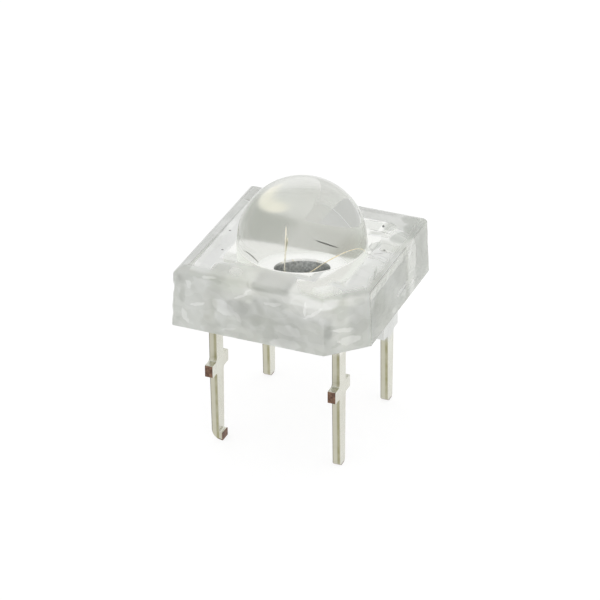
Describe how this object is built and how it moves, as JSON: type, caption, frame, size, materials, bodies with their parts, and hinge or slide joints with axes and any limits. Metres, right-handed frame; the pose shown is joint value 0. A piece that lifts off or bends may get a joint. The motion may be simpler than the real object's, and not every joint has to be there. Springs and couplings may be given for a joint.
{
  "type": "piranha led",
  "caption": "Clear square through-hole LED with a dome lens over a reflector cup, a cut polarity corner, and stamped leads that still carry their cut tie bars.",
  "frame": {"origin": "on the lens axis, level with the lead tips, which is the middle of the bounding box's foot", "axes": "+Z along the leads towards the lens; the cup's lead frame on the -X side, the post's lead frame on the +X side, the cut polarity corner at +X -Y"},
  "size_m": [0.0076, 0.0076, 0.0105],
  "materials": {
    "clear_epoxy": "water-clear cast resin, polished walls, wavy base",
    "plated_strip": "tin-silver plated stamped strip, bare copper on the cut ends",
    "adhesive": "cured die attach adhesive",
    "die": "polished crystal",
    "gold": "bright gold"
  },
  "bodies": {
    "root": {"epoxy_body": "clear_epoxy", "cup_lead_frame": "plated_strip", "post_lead_frame": "plated_strip", "die_adhesive": "adhesive", "led_die": "die", "cup_side_pad": "gold", "post_side_pad": "gold", "cup_side_wire": "gold", "post_side_wire": "gold"}
  },
  "joints": []
}
